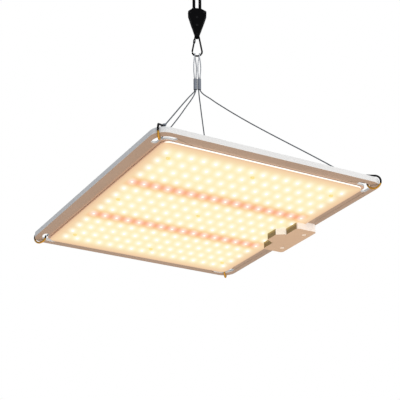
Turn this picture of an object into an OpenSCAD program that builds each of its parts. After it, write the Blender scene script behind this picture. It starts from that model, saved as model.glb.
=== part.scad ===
// Hanging LED grow light. A board of diodes is screwed under a shallow sheet-metal
// tray, and the tray hangs from four corner snap hooks, two wire cables, a snap hook,
// a rope ratchet and an upper snap hook.
//
// Frame: +X runs along the near edge of the tray, +Y away from it, +Z up. The origin
// is the point inside the top of the upper hook's bow, where a ceiling fitting bears.

/* [Tray] */
// Width of the tray, along X
tray_w = 280; // [260:1:320]
// Depth of the tray, along Y
tray_d = 340; // [320:1:380]
// Radius of the tray's corners
tray_corner_r = 16; // [14:1:18]
// Thickness of the tray's sheet
sheet_t = 2.5; // [2:0.25:3]
// Height of the folded rim, over all
rim_h = 6.5; // [5:0.5:8]
// Thickness of the folded rim
rim_t = 2; // [1.5:0.25:2.5]

/* [Corner slots] */
// Width of a curved corner slot
slot_w = 6.5; // [6:0.25:7]
// Radius of the slot's centre line round the corner
slot_bend_r = 12; // [11:0.5:13]
// Straight length at each end of the slot
slot_arm = 3; // [1:0.5:6]
// From the tray's long side to the slot's centre line
slot_inset_x = 10; // [9:0.5:11]
// From the tray's short side to the slot's centre line
slot_inset_y = 11; // [10:0.5:12]

/* [Diode board] */
// Bare margin of the tray round the board
board_margin = 16; // [14:0.5:18]
// Thickness of the board
board_t = 1.8; // [1.2:0.2:2.4]
// Radius of the board's corners
board_corner_r = 9; // [6:1:14]
// Thickness of the thermal pad above the board
pad_t = 0.4; // [0.2:0.1:0.8]
// Number of diode columns, along X
led_columns = 16; // [14:2:16]
// Number of diode rows, along Y
led_rows = 14; // [12:2:14]
// Distance between columns
led_pitch_x = 14.6; // [13:0.2:15]
// Distance between rows
led_pitch_y = 20.2; // [18:0.2:21]
// Side of one diode's package
led_side = 3; // [2.8:0.1:3.5]
// Height of one diode's package
led_h = 0.7; // [0.5:0.1:0.9]

/* [Junction cover] */
// Length of the cover along the tray's side
cover_l = 76; // [70:1:90]
// Depth of the cover, without its tab
cover_d = 28; // [26:1:32]
// Height of the cover below the tray
cover_h = 10; // [9:0.5:12]
// How far the tab reaches in over the board
tab_reach = 11; // [8:1:14]
// Thickness of the cover's walls
cover_wall = 1.6; // [1.2:0.2:2]

/* [Driver] */
// Length of the driver, with its end caps
driver_l = 150; // [140:2:170]
// Width of the driver
driver_w = 62; // [56:1:70]
// Height of the driver
driver_h = 34; // [30:1:40]
// Offset of the driver along X, which balances the cover
driver_x = -4.8; // [-8:0.1:2]

/* [Cables] */
// Diameter of the wire cable
cable_dia = 1.5; // [1.2:0.1:1.8]
// Height of the cable sleeves' lower end above the diodes
sleeve_h = 166.5; // [150:0.5:180]
// Length of the two top sleeves
top_sleeve_l = 14.5; // [10:0.5:16]
// Length of the four end sleeves
end_sleeve_l = 7; // [6:0.5:10]

/* [Hooks] */
// Radius of a corner hook's bow, to the wire's centre line
corner_bow_r = 7.6; // [7.5:0.1:8.6]
// Radius of a corner hook's small end, to the wire's centre line
corner_eye_r = 3; // [2.8:0.1:3.4]
// From a corner hook's bow to its small end, centre to centre
corner_hook_l = 25; // [22:1:28]
// Diameter of the hooks' wire
hook_wire = 2.2; // [2:0.1:2.4]
// Radius of the lower hook's bow, to the wire's centre line
lower_bow_r = 6; // [5.5:0.25:7]
// Radius of the upper hook's bow, to the wire's centre line
upper_bow_r = 8; // [7:0.5:10]
// Turn of the hanging gear about Z, in degrees
hanger_turn = -28; // [-45:1:45]

/* [Rope ratchet] */
// Diameter of the rope
rope_dia = 3.8; // [3:0.1:4]
// Distance between the two strands of rope
strand_gap = 7.5; // [7:0.1:8]
// Radius of the rope's centre line on the wheel
wheel_pitch_r = 6.2; // [6:0.1:6.5]
// How far the ratchet can climb the rope
climb = 30; // [20:1:40]
// Thickness of the ratchet's case
case_t = 12; // [11:0.5:14]

/* [Hidden] */
$fn = 48;
fit_gap = 0.05;                  // radial clearance of a turning fit
slip = 0.3;                      // clearance between pieces of different bodies

corners = [[-1, -1], [1, -1], [1, 1], [-1, 1]];

// Heights above the diodes' faces, from the bottom up
face_h = led_h + board_t + pad_t;                    // lower face of the tray
sheet_h = face_h + sheet_t;                          // upper face of the sheet
saddle_h = 213.4;                                    // centre of the lower hook's wire, at its lowest
lower_bow_h = saddle_h + lower_bow_r;
hook_pin_h = 243;                                    // pin in the ratchet's tip
wheel_h = 265.5;                                     // rope wheel's axle
mouth_h = 279.6;                                     // where the rope leaves the ratchet
rope_left = 14;                                      // rope above the ratchet at the top of its climb
knot_h = mouth_h + climb + rope_left;                // underside of the rope's knot
knot_l = 15;
knot_w = 15;
knot_d = 11.6;
bight_l = 8.5;                                       // from the knot to the upper hook's small end
upper_eye_r = 3.4;                                   // upper hook's small end, to the centre line
upper_l = 24;                                        // upper hook, small end to bow, centre to centre
eye_h = knot_h + knot_l + bight_l;                   // centre of the upper hook's small end
upper_bow_h = eye_h + upper_l;
bearing_h = upper_bow_h + upper_bow_r - hook_wire / 2;
led_z = -bearing_h;                                  // the diodes' faces, in the part's frame
face_z = led_z + face_h;
sheet_z = led_z + sheet_h;

// Board, diodes and the screws that hold the board: a grid of columns and rows, less one
board_w = tray_w - 2 * board_margin;
board_d = tray_d - 2 * board_margin;
red_rows = [4, 9];
screw_x = 7 * led_pitch_x;
screw_y = 6 * led_pitch_y;
board_screw_spots = [for (i = [-1:1], j = [-1:1]) if (!(i == 1 && j == 0)) [i * screw_x, j * screw_y]];
board_screw_r = 1.5;

// Junction cover, and the lead that passes under it
cover_out_x = tray_w / 2 - 0.5;
cover_in_x = cover_out_x - cover_d;
cover_corner_r = 4;
tab_half = 15;                                       // half the tab's width at its root
tab_tip_half = 9;                                    // and at its tip
cover_screw_x = cover_out_x - 8.5;
cover_screw_y = 24;
cover_screw_r = 1.5;
lead_hole = [cover_out_x - 10, 0];
lead_hole_r = 3.6;
lead_r = 2.2;

// A diode stands at each crossing of the grid, except under the cover's tab
function led_spot(i, j) = [(i - (led_columns - 1) / 2) * led_pitch_x, (j - (led_rows - 1) / 2) * led_pitch_y];
function under_tab(p) = p.x > cover_in_x - tab_reach - 2 && abs(p.y) < tab_half + 2;
function is_red(j) = len([for (r = red_rows) if (r == j) r]) > 0;
led_spots = [for (j = [0:led_rows - 1], i = [0:led_columns - 1]) if (!under_tab(led_spot(i, j))) [i, j]];

// Corner slot: the arc's centre, and the bar of sheet outside it, which the hook holds.
// Each hook bears on the bar at a spot, and lies in an upright plane; both are angles from
// the tray's short edges.
slot_centre = [tray_w / 2 - slot_inset_x - slot_bend_r, tray_d / 2 - slot_inset_y - slot_bend_r];
slot_out_r = slot_bend_r + slot_w / 2;
hook_spot = [37, 51, 51, 51];
hook_turn = [55, 51, 51, 51];
function slot_out(i) = slot_centre + slot_out_r * [cos(hook_spot[i]), sin(hook_spot[i])];
function corner_turn(i) = atan2(corners[i].y * sin(hook_turn[i]), corners[i].x * cos(hook_turn[i]));
bar_w = norm([slot_inset_x + slot_bend_r, slot_inset_y + slot_bend_r]) - slot_out_r
    - tray_corner_r * (sqrt(2) - 1);
bow_mid = [bar_w / 2 + 0.05, 3.75];                  // centre of a hook's bow: out of the slot, up from the face
hook_rise = [35, 22, 29, 18];                        // how steeply each cable pulls its hook up
function eye_mid(i) = bow_mid + corner_hook_l * [-cos(hook_rise[i]), sin(hook_rise[i])];
corner_nose = 60;                                    // the corner hooks' noses stand well up inside the bow

// Wire cables
cable_r = cable_dia / 2;
cable_sides = 8;
strand_off = cable_dia / 2 + 0.08;                   // half the distance of two strands in a sleeve
sleeve_u = 2.4;                                      // each top sleeve's distance from the middle
eye_r = hook_wire / 2 + cable_r + 0.12;              // bend of a cable's end round its hook
eye_l = 7;                                           // from the hook's wire to the end sleeve
leg_bow = [-1, 4.3, 5, 17];                          // how far each leg bows below a straight line

// Gate pivots
pivot_pin_r = 0.55;
gate_eye_r = 1.5;
gate_eye_t = 2.2;
gate_wire_r = gate_eye_t / 2 - 0.06;
cheek_t = 0.7;

// Ratchet
rope_r = rope_dia / 2;
wheel_core_r = wheel_pitch_r - rope_r + 0.1;
wheel_rim_r = wheel_pitch_r + 0.6;
wheel_bore_r = 1.5 + fit_gap;
axle_r = 1.5;
gear_y = 3.1;                                        // front of the wheel's tooth disc
gear_t = 1.6;
gear_teeth = 12;
gear_tip_r = 6.4;
gear_root_r = 5.5;
pawl_pivot = [-8.3, 272.2];                          // [across, height]
pawl_pin_r = 0.9;
hook_pin_r = 0.7;
lower_eye_r = hook_pin_r + fit_gap + hook_wire / 2;
rivet_spots = [[9.2, 272.2], [0, 254.5]];
rivet_r = 0.9;
rivet_head_r = 1.7;
rivet_head_t = 0.7;
spring_r = 1.7;

// ---------------------------------------------------------------- helpers

// Everything below is placed by its height above the diodes' faces
module above_leds(h = 0) translate([0, 0, led_z + h]) children();

module hanger() rotate([0, 0, hanger_turn]) above_leds() children();

// A rectangle with round corners
module round_rect(w, d, r) {
    square([w - 2 * r, d], center = true);
    square([w, d - 2 * r], center = true);
    for (c = corners)
        translate([c.x * (w / 2 - r), c.y * (d / 2 - r)]) circle(r = r, $fn = 64);
}

// Wire bent in the XZ plane: an arc, and a straight run
module wire_arc(mid, bend_r, from, to, wire_r)
    translate([mid.x, 0, mid.y])
        rotate([90, 0, 0])
            rotate([0, 0, from])
                rotate_extrude(angle = to - from, $fn = 64)
                    translate([bend_r, 0]) circle(r = wire_r, $fn = 24);

// A run is a shade thinner than the bends it joins, and reaches a little way into them
run_in = 0.25;
module wire_run(a, b, wire_r)
    translate([a.x, 0, a.y])
        rotate([0, atan2(b.x - a.x, b.y - a.y), 0])
            translate([0, 0, -run_in]) cylinder(h = norm(b - a) + 2 * run_in, r = wire_r - 0.03, $fn = 24);

module wire_tip(p, wire_r) translate([p.x, 0, p.y]) sphere(r = wire_r - 0.03, $fn = 24);

// A pin or a bore across the XZ plane, centred on it
module across(p, r, l) translate([p.x, 0, p.y]) rotate([90, 0, 0]) cylinder(h = l, r = r, center = true);

// A tube of round section along a list of points, in one closed solid
function unit(v) = v / norm(v);
function tangent(p, i) = unit(p[min(i + 1, len(p) - 1)] - p[max(i - 1, 0)]);
function side_on(n, t) = unit(n - (n * t) * t);
function sides_along(p, n, i = 0) =
    i == len(p) ? [] : let (m = side_on(n, tangent(p, i))) concat([m], sides_along(p, m, i + 1));

module tube_along(p, r, sides) {
    n = len(p);
    first = abs(tangent(p, 0).z) > 0.8 ? [1, 0, 0] : [0, 0, 1];
    across_p = sides_along(p, first);
    points = [for (i = [0:n - 1], k = [0:sides - 1])
        let (a = 360 * k / sides, u = across_p[i], v = cross(tangent(p, i), u))
            p[i] + r * (cos(a) * u + sin(a) * v)];
    walls = [for (i = [0:n - 2], k = [0:sides - 1])
        let (k2 = (k + 1) % sides)
            [i * sides + k, (i + 1) * sides + k, (i + 1) * sides + k2, i * sides + k2]];
    ends = [[for (k = [0:sides - 1]) k], [for (k = [sides - 1:-1:0]) (n - 1) * sides + k]];
    polyhedron(points = points, faces = concat(walls, ends), convexity = 8);
}

function bezier(a, b, c, d, t) =
    pow(1 - t, 3) * a + 3 * t * pow(1 - t, 2) * b + 3 * t * t * (1 - t) * c + pow(t, 3) * d;

function reversed(p) = [for (i = [len(p) - 1:-1:0]) p[i]];

// ---------------------------------------------------------------- tray and board

module corner_slot() {
    intersection() {
        difference() {
            circle(r = slot_bend_r + slot_w / 2, $fn = 96);
            circle(r = slot_bend_r - slot_w / 2, $fn = 96);
        }
        square(2 * slot_bend_r + slot_w);
    }
    translate([slot_bend_r - slot_w / 2, -slot_arm]) square([slot_w, slot_arm]);
    translate([-slot_arm, slot_bend_r - slot_w / 2]) square([slot_arm, slot_w]);
    translate([slot_bend_r, -slot_arm]) circle(d = slot_w);
    translate([-slot_arm, slot_bend_r]) circle(d = slot_w);
}

module heat_sink_tray() color([0.93, 0.93, 0.92])
    translate([0, 0, face_z])
        difference() {
            linear_extrude(rim_h) round_rect(tray_w, tray_d, tray_corner_r);
            translate([0, 0, sheet_t])
                linear_extrude(rim_h) round_rect(tray_w - 2 * rim_t, tray_d - 2 * rim_t, tray_corner_r - rim_t);
            for (c = corners)
                mirror([c.x < 0 ? 1 : 0, 0])
                    mirror([0, c.y < 0 ? 1 : 0])
                        translate([slot_centre.x, slot_centre.y, -1])
                            linear_extrude(sheet_t + 2) corner_slot();
            translate([lead_hole.x, lead_hole.y, -1]) cylinder(h = sheet_t + 2, r = lead_hole_r);
            for (s = board_screw_spots)
                translate([s.x, s.y, -1]) cylinder(h = sheet_t + 2, r = board_screw_r);
            for (s = [-1, 1])
                translate([cover_screw_x, s * cover_screw_y, -1]) cylinder(h = sheet_t + 2, r = cover_screw_r);
            for (s = driver_feet())
                translate([s.x, s.y, -1]) cylinder(h = sheet_t + 2, r = driver_screw_r + 0.1);
        }

module thermal_pad() color([0.55, 0.57, 0.6])
    above_leds(led_h + board_t)
        linear_extrude(pad_t)
            difference() {
                round_rect(board_w - 4, board_d - 4, board_corner_r - 2);
                for (s = board_screw_spots)
                    translate(s) circle(r = board_screw_r + 0.7);
            }

module diode_board() color([0.98, 0.93, 0.8])
    above_leds(led_h)
        linear_extrude(board_t)
            difference() {
                round_rect(board_w, board_d, board_corner_r);
                for (s = board_screw_spots)
                    translate(s) circle(r = board_screw_r + 0.1);
            }

module diodes(red)
    for (s = led_spots)
        if (is_red(s.y) == red) {
            p = led_spot(s.x, s.y);
            translate([p.x - led_side / 2, p.y - led_side / 2, led_z]) cube([led_side, led_side, led_h]);
        }

module white_diodes() color([1, 0.98, 0.85]) diodes(false);

module red_diodes() color([1, 0.6, 0.55]) diodes(true);

// A pan-head screw, head down, whose head's seat is at the origin
module pan_screw(head_r, head_h, shank_r, shank_l) {
    translate([0, 0, -head_h])
        difference() {
            cylinder(h = head_h, r1 = head_r * 0.86, r2 = head_r);
            for (a = [0, 90])
                rotate([0, 0, a]) translate([-head_r * 0.6, -0.35, -1]) cube([head_r * 1.2, 0.7, 1.6]);
        }
    cylinder(h = shank_l, r = shank_r);
}

module board_screws() color([0.95, 0.85, 0.45])
    for (s = board_screw_spots)
        translate([s.x, s.y, led_z + led_h]) pan_screw(2.6, 1.3, board_screw_r, board_t + pad_t + sheet_t);

// ---------------------------------------------------------------- junction cover

// Outline of the cover's lower face, shrunk by a wall's thickness or by nothing
module cover_outline(in) {
    r = cover_corner_r - in;
    x1 = cover_in_x + in;
    x2 = cover_out_x - in;
    y = cover_l / 2 - in;
    square_between([x1, -y + r], [x2, y - r]);
    square_between([x1 + r, -y], [x2 - r, y]);
    for (sx = [x1 + r, x2 - r], sy = [-y + r, y - r])
        translate([sx, sy]) circle(r = r, $fn = 40);
    polygon([[x1 + 1, -tab_half + in], [x1 + 1, tab_half - in], [x1 - 2, tab_half - in],
        [x1 - tab_reach, tab_tip_half - in / 2], [x1 - tab_reach, -tab_tip_half + in / 2],
        [x1 - 2, -tab_half + in]]);
}

module square_between(a, b) translate(a) square(b - a);

module junction_cover() color([0.93, 0.87, 0.8])
    difference() {
        union() {
            difference() {
                translate([0, 0, face_z - cover_h]) linear_extrude(cover_h) cover_outline(0);
                translate([0, 0, face_z - cover_h + cover_wall])
                    linear_extrude(cover_h) cover_outline(cover_wall);
            }
            for (s = [-1, 1])
                translate([cover_screw_x, s * cover_screw_y, face_z - cover_h + 1])
                    cylinder(h = cover_h - 1, r = 3.2);
        }
        // the board's edge passes under the cover
        translate([cover_in_x - 40, -cover_l, face_z - face_h + led_h - 0.1])
            cube([board_w / 2 - cover_in_x + 40 + 0.2, 2 * cover_l, face_h]);
        for (s = [-1, 1])
            translate([cover_screw_x, s * cover_screw_y, face_z - cover_h - 1]) {
                cylinder(h = cover_h + 2, r = cover_screw_r + 0.1);
                cylinder(h = 2.3, r = 2.9);
            }
    }

module cover_screws() color([0.95, 0.88, 0.78])
    for (s = [-1, 1])
        translate([cover_screw_x, s * cover_screw_y, face_z - cover_h + 1.3])
            pan_screw(2.7, 1.5, cover_screw_r, cover_h - 1.3 + sheet_t);

module terminal_block() color([0.95, 0.95, 0.93])
    difference() {
        translate([cover_in_x + 2.4, -10, led_z + led_h - 6.2]) cube([8, 20, 6.2]);
        for (y = [-5, 5]) {
            translate([cover_in_x + 6.4, y, led_z + led_h - 7]) cylinder(h = 3, r = 1.5);
            translate([cover_in_x + 6.4, y, led_z + led_h - 3]) rotate([0, 90, 0]) cylinder(h = 8, r = 1.2);
        }
    }

module lead_grommet() color([0.1, 0.1, 0.1])
    translate([lead_hole.x, lead_hole.y, face_z])
        difference() {
            union() {
                translate([0, 0, sheet_t]) cylinder(h = 1.2, r = lead_hole_r + 1.4);
                cylinder(h = sheet_t + 0.1, r = lead_hole_r - 0.05);
                translate([0, 0, -1]) cylinder(h = 1, r = lead_hole_r + 0.9);
            }
            translate([0, 0, -2]) cylinder(h = sheet_t + 6, r = lead_r + 0.1);
        }

// The lead from the driver to the terminal block, held all the way
lead_h = 13;                                         // height of the lead above the sheet at the driver
lead_start_x = driver_x + driver_l / 2 + 11;
lead_points = concat(
    [[lead_start_x - 16, 0, sheet_z + lead_h]],
    [for (t = [0:0.125:1]) bezier([lead_start_x, 0, sheet_z + lead_h], [lead_start_x + 22, 0, sheet_z + lead_h],
        [lead_hole.x, 0, sheet_z + lead_h + 4], [lead_hole.x, 0, sheet_z + 3], t)],
    [[lead_hole.x, 0, sheet_z], [lead_hole.x, 0, face_z]],
    [for (t = [0.2:0.2:1]) bezier([lead_hole.x, 0, face_z], [lead_hole.x, 0, face_z - 6],
        [lead_hole.x - 3, 0, face_z - 5.2], [cover_in_x + 10.6, 0, face_z - 5.2], t)]);

module supply_lead() color([0.12, 0.12, 0.12]) tube_along(lead_points, lead_r, 12);

// ---------------------------------------------------------------- driver

function driver_feet() = [for (sx = [-1, 1], sy = [-1, 1])
    [driver_x + sx * (driver_l / 2 - 14), sy * (driver_w / 2 + 6)]];

module driver_block(l, w, h, r)
    rotate([90, 0, 90])
        linear_extrude(l, center = true)
            translate([0, h / 2]) round_rect(w, h, r);

cap_t = 4;
driver_wall = 2;
driver_corner_r = 4;
driver_screw_r = 1.8;
foot_t = 2.5;
module driver_case() color([0.75, 0.76, 0.78])
    translate([driver_x, 0, sheet_z])
        difference() {
            union() {
                driver_block(driver_l - 2 * cap_t, driver_w, driver_h, driver_corner_r);
                for (sy = [-1, 1])
                    translate([0, sy * (driver_w / 2 + 5), foot_t / 2])
                        cube([driver_l - 2 * cap_t, 12, foot_t], center = true);
                // cooling ribs along the top
                for (i = [-4:4])
                    translate([0, i * 6, driver_h + 0.75]) cube([driver_l - 2 * cap_t, 2, 1.6], center = true);
            }
            translate([0, 0, driver_wall])
                driver_block(driver_l, driver_w - 2 * driver_wall, driver_h - 2 * driver_wall, 2.5);
            for (s = driver_feet())
                translate([s.x - driver_x, s.y, -1]) cylinder(h = foot_t + 2.5, r = driver_screw_r + 0.2);
        }

spigot_in = driver_wall + 0.2;
gland_hole_r = 5;
module driver_cap(side)
    translate([driver_x + side * (driver_l / 2 - cap_t / 2), 0, sheet_z])
        difference() {
            union() {
                driver_block(cap_t, driver_w, driver_h, driver_corner_r);
                // the spigot, which fits inside the case
                translate([-side * cap_t, 0, spigot_in])
                    driver_block(cap_t, driver_w - 2 * spigot_in, driver_h - 2 * spigot_in, 2.4);
            }
            translate([-side * (cap_t + 1.5), 0, 4]) driver_block(cap_t + 3, driver_w - 8, driver_h - 8, 2);
            translate([0, 0, lead_h]) rotate([0, 90, 0]) cylinder(h = 20, r = gland_hole_r, center = true);
        }

module driver_rear_cap() color([0.15, 0.15, 0.16]) driver_cap(-1);

module driver_front_cap() color([0.15, 0.15, 0.16]) driver_cap(1);

module driver_circuit_board() color([0.1, 0.4, 0.2])
    translate([driver_x, 0, sheet_z + 6.8]) cube([driver_l - 24, driver_w - 8.4, 1.6], center = true);

board_top = sheet_z + 7.6;
module driver_transformer() color([0.85, 0.75, 0.3])
    translate([driver_x + 6, 0, board_top]) {
        translate([-15, -13, 0]) cube([30, 26, 7]);
        translate([-9, -17, 7]) cube([18, 34, 8]);
        translate([-15, -13, 15]) cube([30, 26, 5]);
    }

module driver_capacitors() color([0.2, 0.22, 0.45]) {
    for (p = [[-44, 12, 8], [-44, -12, 8], [38, 13, 6]])
        translate([driver_x + p.x, p.y, board_top]) cylinder(h = 20, r = p.z);
    translate([driver_x + 36, -15, board_top]) cube([14, 10, 12]);
}

module driver_screws() color([0.8, 0.8, 0.82])
    for (s = driver_feet())
        translate([s.x, s.y, sheet_z + foot_t])
            rotate([180, 0, 0]) pan_screw(3.4, 2, driver_screw_r, foot_t + sheet_t);

// A cable gland on a driver's end cap. Its bore takes the cord.
module gland(side, bore_r)
    translate([driver_x + side * driver_l / 2, 0, sheet_z + lead_h])
        rotate([0, side * 90, 0])
            difference() {
                union() {
                    cylinder(h = 4, r = 8, $fn = 6);
                    translate([0, 0, 4]) cylinder(h = 6, r1 = 6.6, r2 = 5.4);
                    translate([0, 0, -cap_t]) cylinder(h = cap_t, r = gland_hole_r - 0.1);
                    translate([0, 0, -cap_t - 3]) cylinder(h = 3, r = 6.4, $fn = 6);
                }
                translate([0, 0, -cap_t - 4]) cylinder(h = cap_t + 16, r = bore_r);
            }

power_bore_r = 3.75;
module power_gland() color([0.08, 0.08, 0.08]) gland(-1, power_bore_r);

module output_gland() color([0.08, 0.08, 0.08]) gland(1, lead_r + 0.1);

// ---------------------------------------------------------------- snap hooks

// A snap hook of bent wire: a small eye, a wide bow, and a gate in one of its sides. The
// eye's centre is the origin and the bow hangs below it. The gate runs from the eye towards
// the nose, which ends the bow at an angle past its gate side.
function hook_lean(bow_r, eye_r, l) = asin((bow_r - eye_r) / l);
function on_circle(mid, r, a) = mid + r * [cos(a), sin(a)];
function nose_at(bow_r, eye_r, l, nose) = 180 - hook_lean(bow_r, eye_r, l) - nose;
// The gate's line leaves the eye at this angle, and points at the nose when that is raised
function gate_lean(bow_r, eye_r, l, nose) =
    let (lean = hook_lean(bow_r, eye_r, l), tip = on_circle([0, -l], bow_r, nose_at(bow_r, eye_r, l, nose)))
        nose <= 0 ? -lean : atan2(tip.x, -tip.y) + asin(eye_r / norm(tip));
function gate_start(bow_r, eye_r, l, nose) = on_circle([0, 0], eye_r, 180 + gate_lean(bow_r, eye_r, l, nose));
function gate_aim(bow_r, eye_r, l, nose) =
    on_circle([0, -l], bow_r, nose <= 0 ? 180 - hook_lean(bow_r, eye_r, l) : nose_at(bow_r, eye_r, l, nose));
function gate_pivot(bow_r, eye_r, l, nose) =
    let (a = gate_start(bow_r, eye_r, l, nose))
        a + (gate_aim(bow_r, eye_r, l, nose) - a) * (nose <= 0 ? 0.42 : 0.3);

module hook_body(bow_r, eye_r, l, nose) {
    lean = hook_lean(bow_r, eye_r, l);
    start = gate_start(bow_r, eye_r, l, nose);
    pivot = gate_pivot(bow_r, eye_r, l, nose);
    stub_end = pivot + unit(start - pivot) * (gate_eye_r + 0.6);
    tip = nose_at(bow_r, eye_r, l, nose);
    difference() {
        union() {
            wire_arc([0, 0], eye_r, lean, 180 + gate_lean(bow_r, eye_r, l, nose), hook_wire / 2);
            wire_run(on_circle([0, -l], bow_r, lean), on_circle([0, 0], eye_r, lean), hook_wire / 2);
            wire_run(stub_end, start, hook_wire / 2);
            wire_arc([0, -l], bow_r, tip, 360 + lean, hook_wire / 2);
            wire_tip(on_circle([0, -l], bow_r, tip), hook_wire / 2);
            pivot_cheeks(pivot, stub_end);
        }
        across(pivot, pivot_pin_r, 6);
    }
}

// Two cheeks that carry a gate's pin, joined to the end of the wire
module pivot_cheeks(p, wire_end)
    for (s = [-1, 1])
        translate([0, s * (gate_eye_t / 2 + 0.1 + cheek_t / 2), 0]) {
            across(p, gate_eye_r, cheek_t);
            intersection() {
                wire_run(p, wire_end, gate_eye_r);
                translate([p.x, 0, p.y]) cube([30, cheek_t, 30], center = true);
            }
        }

module hook_gate(bow_r, eye_r, l, nose) {
    lean = hook_lean(bow_r, eye_r, l);
    pivot = gate_pivot(bow_r, eye_r, l, nose);
    aim = gate_aim(bow_r, eye_r, l, nose);
    reach = hook_wire / 2 + gate_wire_r + slip;
    shut = nose_at(bow_r, eye_r, l, nose) - asin(reach / bow_r);
    end = nose <= 0 ? on_circle([0, -l], bow_r, shut) : aim - reach * unit(aim - pivot);
    difference() {
        union() {
            wire_run(pivot, nose <= 0 ? aim : end, gate_wire_r);
            if (nose <= 0)
                wire_arc([0, -l], bow_r, 180 - lean, shut, gate_wire_r);
            wire_tip(end, gate_wire_r);
            across(pivot, gate_eye_r, gate_eye_t);
        }
        across(pivot, pivot_pin_r + fit_gap, 6);
    }
}

pin_l = gate_eye_t + 2 * cheek_t + 0.5;
module hook_gate_pin(bow_r, eye_r, l, nose) across(gate_pivot(bow_r, eye_r, l, nose), pivot_pin_r, pin_l);

// ---------------------------------------------------------------- corner hooks

// Stands the XZ plane on a corner's hook, with X outwards from the slot's outer edge
module on_corner(i)
    translate([corners[i].x * slot_out(i).x, corners[i].y * slot_out(i).y, face_z])
        rotate([0, 0, corner_turn(i)])
            translate([eye_mid(i).x, 0, eye_mid(i).y]) rotate([0, hook_rise[i] - 90, 0]) children();

module corner_hook(i) color([0.12, 0.12, 0.12])
    on_corner(i) hook_body(corner_bow_r, corner_eye_r, corner_hook_l, corner_nose);

module corner_gate(i) color([0.16, 0.16, 0.16])
    on_corner(i) hook_gate(corner_bow_r, corner_eye_r, corner_hook_l, corner_nose);

module hook_near_left() corner_hook(0);
module hook_near_right() corner_hook(1);
module hook_far_right() corner_hook(2);
module hook_far_left() corner_hook(3);
module gate_near_left() corner_gate(0);
module gate_near_right() corner_gate(1);
module gate_far_right() corner_gate(2);
module gate_far_left() corner_gate(3);

module corner_pins() color([0.5, 0.5, 0.5])
    for (i = [0:3])
        on_corner(i) hook_gate_pin(corner_bow_r, corner_eye_r, corner_hook_l, corner_nose);

// ---------------------------------------------------------------- cables

// Points of the part's frame from points of a corner's own plane, and of the hanging gear
function turned(p, a) = [p.x * cos(a) - p.y * sin(a), p.x * sin(a) + p.y * cos(a), p.z];
function corner_point(i, p) =
    let (c = corners[i]) turned(p, corner_turn(i)) + [c.x * slot_out(i).x, c.y * slot_out(i).y, face_z];
function hanger_point(p) = turned(p, hanger_turn) + [0, 0, led_z];

// Where a cable bears on its hook's small end, the way it leaves the hook, and the level way across.
// Its pull passes through the middle of the small end.
function leg_top(i) =
    hanger_point([(i == 0 || i == 3 ? -1 : 1) * (sleeve_u + (i < 2 ? strand_off : -strand_off)), 0, sleeve_h]);
function pull_from(i, p) = leg_top(i) - [0, 0, 1.5 * leg_bow[i]] - p;
function pull_rise(i) =
    let (e = eye_mid(i), w = pull_from(i, corner_point(i, [e.x, 0, e.y]))) atan2(w.z, norm([w.x, w.y]));
function bear(i) =
    let (p = on_circle(eye_mid(i), corner_eye_r, 180 - pull_rise(i))) corner_point(i, [p.x, 0, p.y]);
function leg_way(i) = unit(pull_from(i, bear(i)));
function leg_side(i) = unit(cross(leg_way(i), [0, 0, 1]));

// One leg from its tail in the end sleeve, round the hook and up to the top sleeve
function eye_width(t) = strand_off + (eye_r - strand_off) * pow(sin(90 * t), 1.4);
function eye_points(i) =
    let (b = bear(i), w = leg_way(i), s = leg_side(i))
    concat(
        [b + (eye_l + end_sleeve_l - 0.2) * w - strand_off * s],
        [for (t = [0:0.2:1]) b + (eye_l * (1 - t)) * w - eye_width(t) * s],
        [for (a = [30:30:150]) b - eye_r * sin(a) * w - eye_r * cos(a) * s],
        [for (t = [1:-0.2:0]) b + (eye_l * (1 - t)) * w + eye_width(t) * s],
        [b + (eye_l + end_sleeve_l + 1) * w + strand_off * s]);
function leg_points(i) =
    let (a = bear(i) + (eye_l + end_sleeve_l + 1) * leg_way(i) + strand_off * leg_side(i),
        d = leg_top(i) - [0, 0, 2.5])
    [for (t = [0.08:0.092:1]) a + t * (d - a) - [0, 0, 6.75 * leg_bow[i] * t * t * (1 - t)]];

// The top loop of a cable: up one strand from the sleeve, over the hook's wire and down the other.
// The strands turn a quarter way round each other as they rise. The wire slopes where the loop
// passes over it, so the loop rises a little more than it bends.
loop_top_r = hook_wire / 2 + cable_r + 0.16;
loop_side = 2.8;
loop_rise = loop_top_r * lower_bow_r / sqrt(pow(lower_bow_r, 2) - pow(loop_side, 2));
function loop_strand(u, way, t) =
    let (
        h = sleeve_h + top_sleeve_l + t * (loop_saddle_h() - sleeve_h - top_sleeve_l),
        w = strand_off + (loop_top_r - strand_off) * pow(sin(90 * t), 1.2) + 0.35 * sin(180 * t),
        a = 90 * pow(t, 1.5),
        shift = u * (sleeve_u + (loop_side - sleeve_u) * t)
    )
    hanger_point([shift + way * w * cos(a), way * w * sin(a), h]);
function loop_saddle_h() = lower_bow_h - sqrt(pow(lower_bow_r, 2) - pow(loop_side, 2));
function loop_points(u) = concat(
    [for (t = [0:0.1:1]) loop_strand(u, -1, t)],
    [for (a = [30:30:150])
        hanger_point([u * loop_side, -loop_top_r * cos(a), loop_saddle_h() + loop_rise * sin(a)])],
    [for (t = [1:-0.1:0]) loop_strand(u, 1, t)]);

function cable_points(u, first, last) = concat(
    eye_points(first), leg_points(first), [leg_top(first)],
    loop_points(u),
    [leg_top(last)], reversed(leg_points(last)), reversed(eye_points(last)));

// The left cable carries both left corners, and the right cable both right ones
module left_cable() color([0.55, 0.56, 0.58]) tube_along(cable_points(-1, 0, 3), cable_r, cable_sides);

module right_cable() color([0.55, 0.56, 0.58]) tube_along(cable_points(1, 2, 1), cable_r, cable_sides);

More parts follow.
